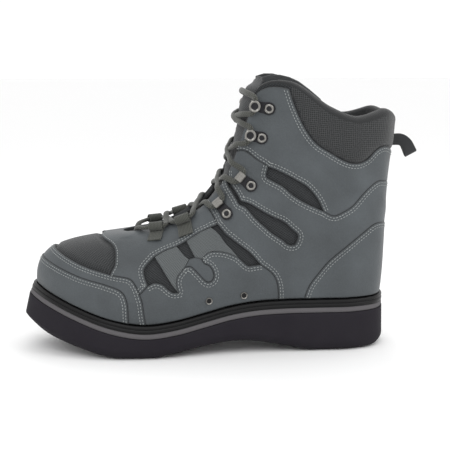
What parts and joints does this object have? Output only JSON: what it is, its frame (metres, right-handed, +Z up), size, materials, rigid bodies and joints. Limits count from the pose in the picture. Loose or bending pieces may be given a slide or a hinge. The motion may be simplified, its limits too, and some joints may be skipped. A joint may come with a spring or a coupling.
{
  "type": "wading boot",
  "caption": "Lace-up mid-height wading boot on a thick flat-bottomed sole, with overlay panels, a padded collar, lace rings and hooks.",
  "frame": {"origin": "middle of the heel's flat tread spot, on the floor", "axes": "+X toward the toe, +Y toward the outer side of the left foot, +Z up"},
  "size_m": [0.3466, 0.1115, 0.2365],
  "materials": {
    "outsole": "matte moulded",
    "midsole_stripe": "matte foam",
    "welt": "satin",
    "insole": "foam with fabric top",
    "upper": "padded mesh",
    "tongue": "padded mesh",
    "leather": "nubuck-like synthetic leather",
    "webbing": "woven webbing",
    "lace": "braided",
    "metal": "nickel plated"
  },
  "bodies": {
    "root": {"outsole": "outsole", "midsole_stripe": "midsole_stripe", "welt": "welt", "insole": "insole", "upper": "upper", "tongue": "tongue", "toe_cap": "leather", "toe_band": "leather", "vamp": "leather", "saddle": "leather", "shaft": "leather", "heel_counter": "leather", "quarter_outer": "leather", "quarter_inner": "leather", "strap_recess_outer": "leather", "strap_recess_inner": "leather", "strap_1_outer": "webbing", "strap_1_inner": "webbing", "strap_2_outer": "webbing", "strap_2_inner": "webbing", "pull_loop": "webbing", "lace_loop_1_outer": "webbing", "lace_loop_1_inner": "webbing", "lace_loop_2_outer": "webbing", "lace_loop_2_inner": "webbing", "lace_ring_3_outer": "metal", "lace_ring_3_inner": "metal", "lace_ring_4_outer": "metal", "lace_ring_4_inner": "metal", "lace_hook_5_outer": "metal", "lace_hook_5_inner": "metal", "lace_hook_6_outer": "metal", "lace_hook_6_inner": "metal", "rivet_ring_3_outer": "metal", "rivet_ring_3_inner": "metal", "rivet_ring_4_outer": "metal", "rivet_ring_4_inner": "metal", "rivet_hook_5_outer": "metal", "rivet_hook_5_inner": "metal", "rivet_hook_6_outer": "metal", "rivet_hook_6_inner": "metal", "drain_eyelet_1_outer": "metal", "drain_eyelet_1_inner": "metal", "drain_eyelet_2_outer": "metal", "drain_eyelet_2_inner": "metal", "lace_bar_bottom": "lace", "lace_crossing_1": "lace", "lace_crossing_2": "lace", "lace_crossing_3": "lace", "lace_crossing_4": "lace", "lace_crossing_5": "lace", "lace_bar_top": "lace"}
  },
  "joints": []
}
